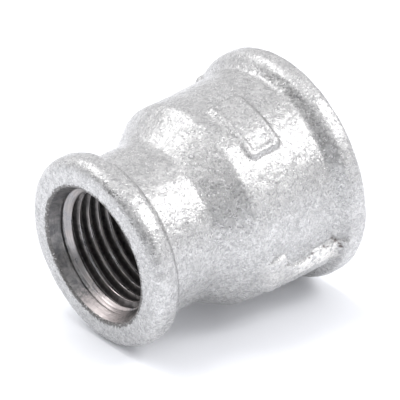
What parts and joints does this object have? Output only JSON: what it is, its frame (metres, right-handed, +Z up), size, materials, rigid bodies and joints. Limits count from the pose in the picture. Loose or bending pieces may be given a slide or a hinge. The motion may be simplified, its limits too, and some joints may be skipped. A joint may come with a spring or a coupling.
{
  "type": "reducing pipe socket",
  "caption": "Concentric reducing socket for threaded pipe: a banded galvanised iron casting with a female pipe thread at each end.",
  "frame": {"origin": "on the bore axis, halfway between the two end faces", "axes": "+X along the bore axis towards the large end, +Z up with the fitting on its side"},
  "size_m": [0.039, 0.0382, 0.0382],
  "materials": {
    "galvanised_iron": "hot-dip zinc, bright and slightly hammered, with bare cut threads inside"
  },
  "bodies": {
    "root": {"reducer_body": "galvanised_iron"}
  },
  "joints": []
}
